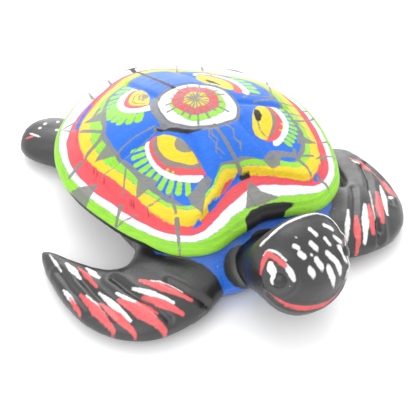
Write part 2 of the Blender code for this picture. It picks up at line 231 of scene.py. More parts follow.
def body_loft():
    angles = np.arange(180) * math.tau / 180
    widest = outline_radius(BODY_OUTLINE, angles)
    seat = np.minimum(outline_radius(RIM_OUTLINE, angles) - RIM_OVERHANG, widest - SEAT_TAPER)
    rings = []
    for share in np.linspace(0, 1, 9):
        reach = widest - SOLE_INSET * (1 - math.sin(share * math.pi / 2))
        rings.append(ring(reach, BODY_Z * (1 - math.cos(share * math.pi / 2)), angles))
    for share in np.linspace(0.2, 1, 5):
        rings.append(ring(widest + (seat - widest) * share, BODY_Z + (SEAT_Z - BODY_Z) * share, angles))
    return loft(rings)


def flipper_loft(stations, side, set_by=(0.0, 0.0), web=(0.0, 0.0)):
    data = np.array([[*front, *rear, thick, height] for front, rear, thick, height in stations])
    places = np.linspace(0, len(stations) - 1, 6 * len(stations) - 5)
    rings = []
    for place, row in zip(places, smooth(np.arange(len(stations)), data, places)):
        shift = np.array(set_by) * min(1.0, place / 2)
        broader = np.array(web) * min(1.0, max(0.0, (place - 3) / 4))
        tilt = FLIPPER_TILT * row[4] / data[0, 4]
        front = np.array([row[0] + shift[0], row[1] + shift[1], row[5] - tilt])
        rear = np.array([row[2] + shift[0] + broader[0], row[3] + shift[1] + broader[1], row[5] + tilt])
        points = section((front + rear) / 2, (front - rear) / 2, (0, 0, 1), row[4] / 2, row[4] / 2)
        rings.append(points * (side, 1, 1))
    return loft(rings)


def turned(y):
    return -np.maximum(0.0, HEAD_TURN_FROM_Y - y) * math.tan(math.radians(HEAD_TURN))


def trunk_loft(stations):
    data = np.array(stations)
    places = np.linspace(0, len(stations) - 1, 6 * len(stations) - 5)
    rings = []
    for y, height, half_width, rise, fall in smooth(np.arange(len(stations)), data, places):
        rings.append(section((turned(y), y, height), (half_width, 0, 0), (0, 0, 1), rise, fall))
    return loft(rings)


# Distances, all positive inside a painted patch and in mm


def stroke(places, points, widths):
    """A brush stroke along a polyline, with a half width at each point. It works in the plan or in space."""
    points = np.asarray(points, float)
    places = places[:, : points.shape[1]]
    widths = np.broadcast_to(np.asarray(widths, float), len(points))
    best = np.full(len(places), -99.0)
    for a, b, wide_a, wide_b in zip(points[:-1], points[1:], widths[:-1], widths[1:]):
        along = b - a
        t = np.clip(((places - a) @ along) / max(along @ along, 1e-9), 0, 1)
        away = np.linalg.norm(places - a - t[:, None] * along, axis=1)
        best = np.maximum(best, wide_a + (wide_b - wide_a) * t - away)
    return best


def dab(places, a, b, wide, lean=0.5):
    """A brush dab: thin, then widest at lean, then thin again."""
    a, b = np.asarray(a, float), np.asarray(b, float)
    points = [a + (b - a) * share for share in (0, lean, 1)]
    return stroke(places, points, (wide * 0.35, wide, wide * 0.45))


def spot(places, centre, radius):
    centre = np.asarray(centre, float)
    return radius - np.linalg.norm(places[:, : len(centre)] - centre, axis=1)


def patch(places, outline):
    """A filled outline in the plan."""
    outline = np.asarray(outline, float)
    x, y = places[:, 0], places[:, 1]
    away = np.full(len(places), 99.0)
    inside = np.zeros(len(places), bool)
    for a, b in zip(outline, np.roll(outline, -1, axis=0)):
        along = b - a
        t = np.clip(((places[:, :2] - a) @ along) / (along @ along), 0, 1)
        away = np.minimum(away, np.linalg.norm(places[:, :2] - a - t[:, None] * along, axis=1))
        crosses = (a[1] > y) != (b[1] > y)
        inside ^= crosses & (x < a[0] + (y - a[1]) * along[0] / (along[1] if along[1] else 1e-9))
    return np.where(inside, away, -away)


def any_of(*parts):
    return np.maximum.reduce(parts)


def all_of(*parts):
    return np.minimum.reduce(parts)


def bell(away, half_width):
    """1 on a line, falling to nearly 0 over about two half widths."""
    return np.exp(-((away / half_width) ** 2))


def wander(places, size, seed):
    """Smooth seeded unevenness from -1 to 1, with features of about this size."""
    random = np.random.default_rng(seed)
    total = np.zeros(len(places))
    for _ in range(5):
        way = random.normal(size=3)
        way *= math.tau / size / np.linalg.norm(way) * random.uniform(0.6, 1.4)
        total += np.sin(places @ way + random.uniform(0, math.tau))
    return total / 3.2


# Making pieces


def make_piece(name, points, faces, material, node, paints, brush):
    """A mesh piece at the node's place. paints are distances in mm, and brush is where streaks are read."""
    mesh = bpy.data.meshes.new(name)
    corners = [face for group in faces for face in group.tolist()]
    mesh.from_pydata(((points + SHIFT) * MM).tolist(), [], corners)
    mesh.shade_smooth()
    for label, values in paints.items():
        mesh.attributes.new(label, "FLOAT", "POINT").data.foreach_set("value", np.clip(values, -5, 5))
    streaks = mesh.attributes.new("brush", "FLOAT_VECTOR", "POINT")
    streaks.data.foreach_set("vector", brush.astype(np.float32).ravel())
    mesh.materials.append(material)
    piece = bpy.data.objects.new(name, mesh)
    bpy.context.scene.collection.objects.link(piece)
    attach(piece, "root")
    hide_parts(node)


# The carapace

VALLEY_DEPTH, VALLEY_HALF_WIDTH = 1.0, 1.5
DISC_EDGE_SHARE, DISC_EDGE_OUT, DISC_EDGE_HALF_WIDTH = 0.55, 0.8, 1.1  # a shallower groove round the disc
SCUTE_SWELL, SCUTE_SWELL_RUN = 0.45, 6
VALLEYS = [
    [(-12.5, -3), (-13, -12), (-14, -25)],
    [(12, -3), (12.5, -12), (13.5, -25)],
    [(-18, 5), (-28, 4.6), (-41, 4)],
    [(17, 6), (27, 4.6), (40, 4)],
    [(-12, 22), (-12.5, 40), (-12, 60)],
    [(12, 22), (12.5, 40), (12, 60)],
]
DISC = [
    (-14.8, 6.2), (-11.2, 2), (-7, -1.2), (-2, -3.4), (4, -3.8), (10, -2), (13.6, 3), (14.6, 8), (14, 14.5),
    (11, 20.5), (5, 25), (-1, 26), (-9, 24.8), (-13.4, 20.6), (-15.2, 15.6), (-15.6, 11),
]


def scutes(places):
    """How far the modelled scutes raise or lower the dome."""
    groove = np.zeros(len(places))
    swell = np.full(len(places), 9.0)
    for valley in VALLEYS:
        away = -stroke(places, valley, 0.0)
        groove = np.maximum(groove, bell(away, VALLEY_HALF_WIDTH))
        swell = np.minimum(swell, away)
    off_disc_edge = np.abs(patch(places, DISC) + DISC_EDGE_OUT)
    groove = np.maximum(groove, DISC_EDGE_SHARE * bell(off_disc_edge, DISC_EDGE_HALF_WIDTH))
    swell = SCUTE_SWELL * (1 - bell(swell, SCUTE_SWELL_RUN))
    return swell - VALLEY_DEPTH * groove + 0.05 * wander(places, 9, 4)


def carapace_rings():
    """Rings from the top of the dome over the rim to the middle of the underside. The first and last have
    half as many points."""
    half = np.arange(SHELL_TURNS // 2) * math.tau / (SHELL_TURNS // 2)
    full = np.arange(SHELL_TURNS) * math.tau / SHELL_TURNS
    rings = []
    for share in np.linspace(0.012, 0.44, 40):
        rings.append(ring(outline_radius(PLATE_OUTLINE, half) * share, 0, half))
    plate, rim = outline_radius(PLATE_OUTLINE, full), outline_radius(RIM_OUTLINE, full)
    for share in np.linspace(0.45, 1, 52):
        rings.append(ring(plate * share, 0, full))
    edge = len(rings) - 1
    for share in (0.3, 0.65):
        rings.append(ring(plate + PLATE_STEP_RUN * share, 0, full))
    margin = rim - plate - PLATE_STEP_RUN
    for share in np.linspace(0, 1, 22):
        rings.append(ring(plate + PLATE_STEP_RUN + (margin - RIM_THICKNESS / 2) * share, 0, full))
    for points in rings:
        flat = points[:, :2] - SHELL_CENTRE
        angles = half if len(points) == len(half) else full
        points[:, 2] = dome_height(np.hypot(flat[:, 0], flat[:, 1]), angles)
    step_top, step_foot = rings[edge][:, 2], rings[edge + 3][:, 2]
    for row, drop in enumerate((0.10, 0.42, 0.86, 1.0)):
        rings[edge + row][:, 2] = step_top + (step_foot - step_top) * drop
    half_height = (RIM_THICKNESS + front_to_rear(RIM_LIFT, full)) / 2
    for degrees in np.linspace(78, -90, 15):
        turn = math.radians(degrees)
        reach = rim - RIM_THICKNESS / 2 * (1 - math.cos(turn))
        rings.append(ring(reach, RIM_BOTTOM + half_height * (1 + math.sin(turn)), full))
    for share in (0.97, 0.93, 0.85):
        rings.append(ring((rim - RIM_THICKNESS / 2) * share, RIM_BOTTOM, full))
    for share in (0.7, 0.4, 0.1):
        rings.append(ring(outline_radius(RIM_OUTLINE, half) * share, RIM_BOTTOM, half))
    return rings


def stitched(rings):
    """Faces through rings where a ring may have twice or half the points of the one before."""
    points = np.concatenate([*rings, [rings[0].mean(axis=0)], [rings[-1].mean(axis=0)]])
    quads, triangles, start = [], [], 0
    for inner, outer in zip(rings, rings[1:]):
        a, b, count = start, start + len(inner), min(len(inner), len(outer))
        here = np.arange(count)
        after = (here + 1) % count
        if len(inner) == len(outer):
            quads.append(np.column_stack([a + here, b + here, b + after, a + after]))
        else:
            coarse, fine = (a, b) if len(inner) < len(outer) else (b, a)
            both = []
            for x, y, z in (
                (coarse + here, fine + 2 * here, fine + 2 * here + 1),
                (coarse + here, fine + 2 * here + 1, coarse + after),
                (coarse + after, fine + 2 * here + 1, fine + (2 * here + 2) % (2 * count)),
            ):
                both.append(np.column_stack([x, y, z] if coarse == a else [x, z, y]))
            triangles += both
        start += len(inner)
    first, last = np.arange(len(rings[0])), start + np.arange(len(rings[-1]))
    triangles.append(np.column_stack([np.full(len(first), len(points) - 2), first, np.roll(first, -1)]))
    triangles.append(np.column_stack([np.full(len(last), len(points) - 1), np.roll(last, -1), last]))
    return points, np.concatenate(quads), np.concatenate(triangles)


def rounded(points, steps=6):
    """A closed smooth outline through the points. A point given twice running is a corner."""
    points = np.asarray(points, float)
    found = []
    for i in range(len(points)):
        p0, p1, p2, p3 = (points[(i + k) % len(points)] for k in (-1, 0, 1, 2))
        if np.allclose(p1, p2):
            continue
        for t in np.arange(steps) / steps:
            bend = 2 * p0 - 5 * p1 + 4 * p2 - p3 + t * (3 * (p1 - p2) + p3 - p0)
            found.append(p1 + 0.5 * t * ((p2 - p0) + t * bend))
    return np.array(found)


BLACK_UP_RIM = (-96, -82, -44, -30), (0.3, 2.9, 3.1, 0.5)  # degrees, and mm up the rim
BLACK_FADE = 0.6
ROUNDED_EDGE = 0.6  # hand modelling stops this far above the rim's underside
BRUSH_ROUND = 7.2  # how fast the brush streaks change on the way round, per radian

# The half-moon eyes in the plan, one on each scute. Dashes are the first and last degree, their number and
# how far they reach, in mm. Dots are in degrees
FRONT_RIGHT_EYE = {
    "middle": (-15.2, -6.4),
    "yellow": [
        (-14, -15.2), (-14, -15.2), (-16.5, -15.2), (-19.5, -13), (-23.2, -9.2), (-24.6, -5.2), (-24.3, -1.4),
        (-22.4, 2.9), (-22.4, 2.9), (-19.5, 1.6), (-16.5, -1.8), (-14.5, -4.5), (-13.7, -8), (-13.5, -12.2),
    ],
    "edge": [
        (-13.4, -17.8), (-13.4, -17.8), (-17.2, -16.6), (-21, -14), (-25, -11.2), (-26.4, -7.5),
        (-26.6, -2.9), (-25.2, 1.3), (-22.4, 3.2), (-22.4, 3.2), (-16.5, -1.8), (-13.6, -8),
    ],
    "red": [
        (-13.6, -20.8), (-13.6, -20.8), (-16.1, -20.2), (-19.5, -18.4), (-23.4, -16.2), (-27, -11.4),
        (-28.2, -6.8), (-27.9, -2.2), (-26.5, 1.7), (-24.5, 3.4), (-22.4, 3.4), (-17.5, -2), (-13.6, -9),
    ],
    "white": [
        (-15, -21.2), (-17.2, -22.4), (-20.3, -21.2), (-24.2, -18.4), (-27.3, -15.2), (-29.5, -9.8),
        (-29.9, -4.5), (-28.9, 0.2), (-27, 3), (-25.4, 2.6), (-20, -4), (-15, -14),
    ],
    "dashes": (-66, 30, 10, 5.2),
    "dots": (-41, -30),
}
FRONT_LEFT_EYE = {
    "middle": (17.6, -3.4),
    "yellow": [
        (16.2, -15.2), (14.4, -13.6), (13.7, -11.2), (14.2, -8.6), (16.4, -4.5), (19.2, -0.6), (22.9, 2.4),
        (26.2, 3.6), (27.4, 1.6), (26.7, -3), (24.4, -7.6), (21.2, -11.2), (18, -14.2),
    ],
    "edge": [
        (16, -15.4), (16, -15.4), (20.4, -13.6), (25.1, -9.2), (28, -4.5), (28.8, 0.2), (27.6, 3.6),
        (27.6, 3.6), (21, 0), (15, -8),
    ],
    "red": [
        (15.6, -15.6), (15.6, -15.6), (19, -16.2), (22.9, -14.9), (26.8, -11.4), (29.6, -7.5), (30.4, -3.7),
        (30, 1.7), (28.2, 3.6), (26, 2), (18, -8),
    ],
    "white": [
        (18.2, -17.6), (19.8, -18.7), (22.9, -17.3), (26.8, -14.5), (30.7, -10.6), (33, -6), (33.8, -1.4),
        (32.6, 2.6), (30.4, 3.2), (27, -4), (22, -12),
    ],
    "dashes": (-64, 14, 9, 3.6),
    "dots": (-45, -25),
}
REAR_RIGHT_EYE = {
    "middle": (-13.6, 31),
    "yellow": [
        (-17.2, 21.6), (-17.2, 21.6), (-20.4, 24.8), (-21.9, 28.6), (-21.6, 32.5), (-19.5, 36.3),
        (-16.5, 39.4), (-12.2, 41.6), (-12.2, 41.6), (-11.9, 37), (-12.6, 31.7), (-13.8, 27.8), (-15.6, 24.4),
    ],
    "red": [
        (-17.6, 21), (-17.6, 21), (-21, 22.8), (-23.4, 26), (-24, 31), (-22.7, 35), (-20.2, 38.4),
        (-16.8, 41.2), (-12.4, 42.8), (-12.4, 42.8), (-12.6, 36), (-15, 26),
    ],
    "white": [
        (-18.2, 17), (-21, 18.4), (-23.6, 20.8), (-25.9, 24.8), (-26.7, 29.4), (-26, 34.8), (-24.2, 39),
        (-20.4, 43.2), (-14, 45), (-12.6, 43.6), (-14, 34), (-16.8, 24), (-17.2, 19.4),
    ],
    "petals": [
        [(-22.4, 18), (-24.4, 15.6)], [(-24.6, 20.6), (-27.6, 17.8)], [(-26, 23), (-30.4, 20.8)],
        [(-26.4, 26), (-31.2, 24.6)], [(-27, 29), (-31.8, 28.6)], [(-27, 32), (-31.4, 32.2)],
        [(-26.6, 35), (-30.6, 36)], [(-25.4, 38), (-29, 40)], [(-23.6, 41), (-26.6, 43.6)],
        [(-21, 44), (-23.6, 47.2)], [(-17.6, 46), (-19.6, 50.6)], [(-14, 47), (-15.6, 53.6)],
    ],
    "petal_width": (1.5, 1.7),
}
REAR_LEFT_EYE = {
    "middle": (13.8, 25),
    "yellow": [
        (18.2, 14.4), (15.2, 16.3), (13.8, 21), (12.4, 28), (12.6, 36), (15.6, 39), (18.8, 36), (20.6, 30),
        (21.2, 22.5), (20.2, 17),
    ],
    "red": [
        (19, 12.2), (21.6, 12), (23.2, 15), (23.4, 22), (22.8, 30), (20.8, 37), (16.4, 41), (14, 36),
        (17, 20),
    ],
    "white": [
        (22.2, 11.4), (25.6, 12.4), (26.6, 18), (26.8, 24), (26, 32), (23.4, 39), (17, 44), (14, 40),
        (19, 24),
    ],
    "petals": [
        [(27.4, 14), (30, 13.4)], [(28, 17.6), (31, 17.6)], [(28.4, 21.4), (31.4, 22)],
        [(28.2, 25.6), (31, 26.6)], [(27.4, 30), (30.2, 31.6)],
    ],
    "petal_width": (1.5, 1.6),
}
FRONT_RIGHT_PUPIL, PUPIL_RADIUS = (-15.0, -5.8), 3.8
ROSETTE_MIDDLE, ROSETTE_SPOKES, ROSETTE_SPOKE_REACH = (-0.4, 11.8), 17, (10.0, 14.2)
ROSETTE_GREEN, ROSETTE_RED_TO, ROSETTE_YELLOW_TO = (9.2, 11.0), 9.6, 5.1
LIME_SPOT, LIME_SPOT_RADIUS = (-41.8, 7.0), 1.6
# Bands over the margin: degrees from the front, and where green and white end. The rim is 0, and the plates 1
# Towards the rear, from about 125 degrees round, the thin green at the rim's edge is green paint and also
# painted shade along the shell's far edge
MARGIN_BANDS = [
    (-180, 0.24, 0.94), (-145, 0.24, 0.88), (-125, 0.25, 0.70), (-110, 0.27, 0.60), (-95, 0.30, 0.54),
    (-60, 0.36, 0.68), (-28, 0.34, 0.63), (-6, 0.36, 0.66), (6, 0.42, 0.72), (18, 0.43, 0.78),
    (30, 0.38, 0.72), (52, 0.33, 0.64), (66, 0.34, 0.60), (80, 0.37, 0.60), (98, 0.34, 0.66),
    (112, 0.27, 0.80), (125, 0.25, 0.94), (145, 0.24, 0.98), (180, 0.24, 0.94),
]
MARGIN_PAINT_WIDTH = 11.0  # turns a share of the margin into mm
# Bands inside the plates' edge, in mm: degrees, yellow from and to, green to, and the grey line's width
PLATE_BANDS = [
    (-180, 3.4, 8.4, 10.6, 1.6), (-160, 3.2, 7.4, 9.6, 1.8), (-145, 2.7, 5.9, 7.9, 1.8),
    (-121, 0.8, 5.6, 10.6, 1.8), (-108, 0.1, 5.6, 10.6, 1.8), (-96, -0.1, 4, 8.2, 1.8),
    (-84, 0.2, 4, 8.2, 1.6), (-72, 1.5, 4.8, 7.7, 1.6), (-58, 1.7, 4.9, 7.2, 2.2), (-52, 1.5, 4.9, 7, 2.3),
    (-45, 0, 4.4, 6.3, 2.1), (-38, -0.4, 3.9, 5.6, 1.8), (-30, -0.9, 3.6, 5.2, 0), (-18, -0.9, 3, 4.5, 0),
    (-11, 0, 3.7, 5.1, 0.8), (-4, -0.6, 1.6, 2.8, 1.1), (0, -0.9, 0.8, 1.9, 1.1), (4, -0.9, 1, 2.6, 1.1),
    (8, -0.9, 1.2, 3.4, 0.8), (14, -0.9, 1.6, 4, 0.3), (20, -0.9, 3.4, 6.8, 0), (24, -0.9, 4.2, 7.8, 0),
    (35, 0.2, 5.2, 7.5, 1.8), (46, 0.6, 4.2, 6.5, 2.1), (52, 0.1, 3.7, 6.1, 2), (66, -1.6, 4.1, 7.6, 1.8),
    (80, -1.4, 5.4, 8.6, 1.6), (98, 0, 5.6, 8.8, 1.4), (115, 3.2, 8.4, 11.4, 1.4), (130, 4.4, 9.8, 12.6, 1.4),
    (150, 5, 10.6, 13, 1.4), (180, 3.4, 8.4, 10.6, 1.6),
]
# Strokes on the dome in the plan, each with its half widths
STROKES = {
    "grey": [
        ([(-21.5, 6.6), (-18.6, 5), (-17.8, 9)], (0.5, 1, 0.8)),
        ([(-0.8, -4), (-0.4, -11), (0, -17.5), (0.4, -21.8)], (0.9, 0.8, 0.9, 1)),
        ([(-2.6, -5), (-4, -7.6), (-3, -10.5), (-5.2, -13), (-3.4, -16.5)], 0.3),
        ([(-3.4, -4.6), (-5.6, -8), (-4.6, -12), (-6.2, -15), (-5.4, -17.5)], 0.22),
        ([(3.6, -5), (5.2, -8.5), (3.4, -12), (4.8, -14.5), (3.6, -17)], (0.3, 0.4, 0.3, 0.6, 0.3)),
        ([(-17.8, 24), (-20.2, 27.4), (-20.2, 31.7), (-17.2, 35.6), (-12.6, 36.6)], 0.4),
        ([(-16.8, 27), (-17.6, 30.4), (-16, 33.6), (-12.8, 34.6)], 0.4),
        ([(-15.4, 29.2), (-14, 32)], 1.3),
        ([(17.2, -13.6), (16.6, -10), (18.6, -5), (21, 1)], (0.3, 0.4, 0.5, 0.5)),
        ([(-46.5, 2.8), (-40, 2.6), (-32.6, 3), (-22, 5.6), (-20.3, 6.8)], 0.32),
        ([(-37.8, 6.8), (-35, 7.8), (-29.5, 8.6), (-21, 8)], 0.4),
        ([(24, 6.4), (28, 7), (35, 8.6)], 0.5),
        ([(20, 8.6), (24, 10.4), (34.6, 10)], 0.4),
        ([(-36, -42.5), (-33.6, -36.6), (-31.5, -31.4)], (0.3, 0.6, 1)),
        ([(-30.8, -29.2), (-28.8, -22.2)], (0.5, 0.6)),
        ([(-38.8, -21), (-28.4, -21.4)], 0.38),
        ([(-43, -9.8), (-36.8, 0.2)], 0.38),
        ([(-50.2, -18), (-42.2, -19.6)], 0.4),
        ([(-50.2, -18), (-45.4, -12.4)], (0.4, 1)),
        ([(-55.7, 14.8), (-49.6, 18.1)], (0.9, 1)),
        ([(-47.2, 17), (-40.7, 19), (-37.6, 21.6)], (0.9, 1.1, 0.9)),
        ([(-37.6, 22.4), (-43, 34)], (0.8, 1)),
        ([(-48.6, 45.4), (-44.5, 41)], (0.4, 0.7)),
        ([(-48.6, 45.6), (-41, 47.4)], (0.4, 0.6)),
        ([(-36, 39), (-31, 44)], (0.7, 1)),
        ([(-27.5, 68), (-27.8, 61.5)], (0.4, 0.9)),
        ([(-15.2, 74.5), (-15.6, 69)], (0.4, 0.9)),
        ([(25.5, -34), (25.9, -30.6), (24.6, -26.8), (24.4, -24), (26, -21.6)], (0.4, 0.7, 0.8, 0.8, 0.8)),
        ([(30.4, -41), (30.8, -37.5), (29, -34.4)], (0.3, 0.7, 0.9)),
        ([(26.6, -25), (30, -25.4), (32.6, -25.9)], (0.5, 0.7, 0.5)),
        ([(32.4, -27.8), (36, -26.6), (41, -24), (48, -24.4)], (0.4, 0.6, 0.6, 0.3)),
        ([(46, -15.4), (48.6, -15), (51, -16.4)], (0.5, 0.6, 0.4)),
        ([(37, -6.6), (40.6, -10.6)], (0.5, 0.3)),
        ([(36, -6.2), (41, -5.2), (46, -3.4)], (0.7, 0.6, 0.4)),
        ([(36.6, -0.6), (45, -0.8), (52, 0.6), (56, 3.4)], (0.5, 0.5, 0.6, 0.5)),
        ([(36, 8), (46, 6.6), (55, 7.6)], (0.6, 0.6, 0.5)),
        ([(35.2, 9.4), (39, 15.5), (43, 21.7), (48.3, 31), (53.7, 39.4)], (0.7, 0.6, 0.6, 0.6, 0.6)),
        ([(20.4, 35.4), (25, 48), (30.6, 63.6)], (0.5, 0.6, 0.6)),
        ([(8, 44), (14, 58), (20, 70)], (0.5, 0.6, 0.5)),
    ],
    "black": [
        ([(-20.8, 6.2), (-17.6, 3.4), (-13.6, 0.2), (-9.6, -2.2), (-6.4, -3.6)], (0.4, 0.9, 1.2, 0.8, 0.3)),
        ([(0.4, -23.3), (3.2, -23.6)], 0.85),
        ([(19, -4.6), (20.4, -2.4), (21.2, -0.6)], (1.2, 1.8, 1.2)),
        ([(15.6, 20.6), (14.8, 26), (14.4, 30)], (0.5, 1.1, 0.5)),
        (
            [(-3.2, 25.6), (-3.6, 33), (-3.4, 45), (-2.4, 57), (-1.2, 68), (-0.8, 80)],
            (0.8, 0.9, 0.8, 0.8, 0.8, 1.4),
        ),
        ([(-6, 80), (0, 79), (3, 80.5)], 1.3),
    ],
    "lime": [
        ([(-6.6, -40.2), (-4.6, -37.8), (-3.6, -36.2)], 0.2),
        ([(2.6, -37), (4.4, -35.8)], 0.45),
    ],
    "red": [
        ([(2.2, -36.8), (3.4, -35.6)], 0.42),
    ],
}
# Filled shapes on the dome in the plan
GREY_PATCHES = [
    [
        (-22.5, -33.6), (-20.4, -31), (-18, -27.6), (-12.6, -23.3), (-13.5, -21.2), (-16.6, -22),
        (-20.3, -24.2), (-23.8, -25.4), (-24.2, -29),
    ],
    [(-40.2, -15.4), (-30.8, -14.6), (-35, -7.2)],
    [(-45.9, 11), (-38, 6.4), (-37.8, 15)],
    [(-57, -3), (-57.8, 8.6), (-48.4, 2.6)],
    [(-34.6, 31), (-40, 39.8), (-30.6, 39.6)],
    [(29.4, -18.8), (39.4, -19.2), (33.4, -14)],
    [
        (10.4, -23.6), (12.2, -26.6), (15.4, -26.8), (17.8, -23.8), (20.6, -24.2), (24, -25.6), (24.4, -23),
        (19, -21.2), (14.6, -20.4), (11.6, -22),
    ],
    [(-4.4, -35), (0.8, -27.6), (2.2, -25.6), (3.6, -27.6), (4.6, -31), (9.4, -35.6)],
]
BLACK_PATCH = [
    (-7.8, -41.8), (-6.9, -38.4), (-3, -36.2), (2, -35.6), (7, -36.6), (11, -38.2), (14.2, -40.4), (9.5, -41),
    (6, -45), (-7, -45),
]
# Where bare blue shows in the crevice at the foot of the plates
BLUE_SLIVERS = [
    [(-18, -32.4), (-10, -28.8), (-4, -25.4), (0, -23.4)], [(-27, -36.6), (-24.6, -35.6)],
    [(28, -35.2), (29.4, -34.4)], [(-42.4, 42), (-37, 49.5), (-31, 55.5)],
]


def far_edge(outline, middle, way):
    """How far out along a direction from the middle the outline ends."""
    steps = np.arange(0, 30, 0.25)
    inside = patch(np.asarray(middle) + steps[:, None] * np.asarray(way), outline) > 0
    return steps[inside].max() if inside.any() else 0.0


def round_from(degrees, side):
    """The direction at these degrees above the way outwards on one side of the shell."""
    turn = math.radians(degrees)
    return np.array([side * math.cos(turn), math.sin(turn)])


def paint_bands(paint, places, u, inward, degrees):
    """The bands round the shell. u runs from the rim, 0, to the foot of the plates, 1."""
    knots, *ends = np.array(MARGIN_BANDS).T
    green_to, white_to = (np.interp(degrees, knots, end) for end in ends)
    band = u + 0.025 * wander(places, 14, 1) + 0.012 * wander(places, 5, 2)
    knots, *ends = np.array(PLATE_BANDS).T
    yellow_from, yellow_to, plate_green_to, line = (np.interp(degrees, knots, end) for end in ends)
    yellow_from = yellow_from + 0.2 * wander(places, 6, 21)
    yellow_to = yellow_to + 0.2 * wander(places, 6, 22)
    plate_green_to = plate_green_to + 0.2 * wander(places, 6, 23)

    on_margin = yellow_from + 0.2 - inward
    past_green, past_white = ((band - end) * MARGIN_PAINT_WIDTH for end in (green_to, white_to))
    paint["green"] += [all_of(-past_green, on_margin), all_of(inward - yellow_to, plate_green_to - inward)]
    paint["white"].append(all_of(past_green, -past_white, on_margin))
    paint["red"].append(all_of(past_white, on_margin))
    paint["yellow"].append(all_of(inward - yellow_from, yellow_to - inward))
    paint["grey"].append(all_of(inward - plate_green_to + 0.1, plate_green_to + line - inward, line - 0.3))


def paint_disc(paint, places):
    """The white disc on top and its rosette."""
    disc = patch(places, rounded(DISC))
    hub = ROSETTE_MIDDLE
    across, ahead = places[:, 0] - hub[0], hub[1] - places[:, 1]
    turn = np.arctan2(across, ahead)
    reach = np.hypot(across, ahead) + 0.25 * np.sin(5 * turn + 1)
    green_from, green_to = ROSETTE_GREEN[0], ROSETTE_GREEN[1] + 1.5 * np.cos(turn)
    paint["white"].append(all_of(disc, reach - green_to))
    paint["green"].append(all_of(green_to - reach, reach - green_from))
    paint["red"].append(ROSETTE_RED_TO - 0.7 * np.cos(turn) - reach)
    paint["yellow"].append(ROSETTE_YELLOW_TO - reach + 0.3 * np.sin(7 * turn))
    outline_width = np.interp(places[:, 0], (-19.0, -13.0, -4.0, 6.0), (3.2, 2.8, 1.8, 1.3))
    paint["grey"].append(all_of(disc + outline_width + 0.3 * wander(places, 6, 8), 0.1 - disc))
    random = np.random.default_rng(11)
    for spoke in range(ROSETTE_SPOKES):
        way = math.tau * (spoke + random.uniform(-0.2, 0.2)) / ROSETTE_SPOKES
        long = random.uniform(*ROSETTE_SPOKE_REACH)
        end = (hub[0] + long * math.sin(way), hub[1] - long * math.cos(way))
        paint["grey"].append(stroke(places, [hub, end], (0.3, 0.5)))


def paint_eye(paint, places, eye, side):
    """One half-moon eye with the green dashes or petals round it, and dots on its red."""
    middle = np.array(eye["middle"])
    yellow, red, white = (rounded(eye[colour]) for colour in ("yellow", "red", "white"))
    on_yellow, on_red, on_white = (patch(places, outline) for outline in (yellow, red, white))
    paint["yellow"].append(on_yellow)
    paint["red"].append(on_red)
    paint["white"].append(all_of(on_white, 0.2 - on_red))
    for petal in eye.get("petals", []):
        paint["green"].append(all_of(stroke(places, petal, eye["petal_width"]), -on_white))
    if "dashes" in eye:
        paint["grey"].append(all_of(patch(places, rounded(eye["edge"])), -on_yellow))
        first, last, count, reach = eye["dashes"]
        for degrees in np.linspace(first, last, count):
            way = round_from(degrees, side)
            edge = far_edge(white, middle, way)
            ends = [middle + way * (edge + 0.9), middle + way * (edge + 0.9 + (reach - 1.4))]
            paint["green"].append(stroke(places, ends, (0.95, 1.15)))
        for degrees in eye["dots"]:
            way = round_from(degrees, side)
            paint["lime"].append(spot(places, middle + way * (far_edge(red, middle, way) - 0.4), 0.6))


def carapace_paint(places, u, inward, degrees, up_face):
    """Distances in mm for each colour of the carapace. inward is how far inside the plates' edge a point is,
    and up_face is 0 on the underside and 1 above it."""
    paint = {colour: [] for colour in ("green", "white", "red", "yellow", "blue", "lime", "grey", "black")}
    paint_bands(paint, places, u, inward, degrees)
    paint_disc(paint, places)
    for eye, side in ((FRONT_RIGHT_EYE, -1), (FRONT_LEFT_EYE, 1), (REAR_RIGHT_EYE, -1), (REAR_LEFT_EYE, 1)):
        paint_eye(paint, places, eye, side)
    for colour, marks in STROKES.items():
        paint[colour] += [stroke(places, points, widths) for points, widths in marks]
    for y in range(29, 45, 3):  # the comb along the midline
        paint["black"].append(stroke(places, [(-3.6, y + 1.4), (-6.6, y)], (0.4, 0.2)))
    pupil = spot(places, FRONT_RIGHT_PUPIL, PUPIL_RADIUS)
    paint["grey"].append(all_of(pupil, patch(places, rounded(FRONT_RIGHT_EYE["yellow"]))))
    paint["grey"] += [patch(places, outline) + 0.2 for outline in GREY_PATCHES]
    paint["black"].append(patch(places, BLACK_PATCH))
    paint["lime"].append(spot(places, LIME_SPOT, LIME_SPOT_RADIUS))
    for points in BLUE_SLIVERS:
        paint["blue"].append(all_of(stroke(places, points, 1.3), 0.2 - inward, inward + 2.2))

    under = 4 - 8 * up_face
    black = any_of(*paint.pop("black"), under)
    found = {f"paint_{colour}": all_of(any_of(*parts), -under) for colour, parts in paint.items()}
    return {**found, "paint_black": black}


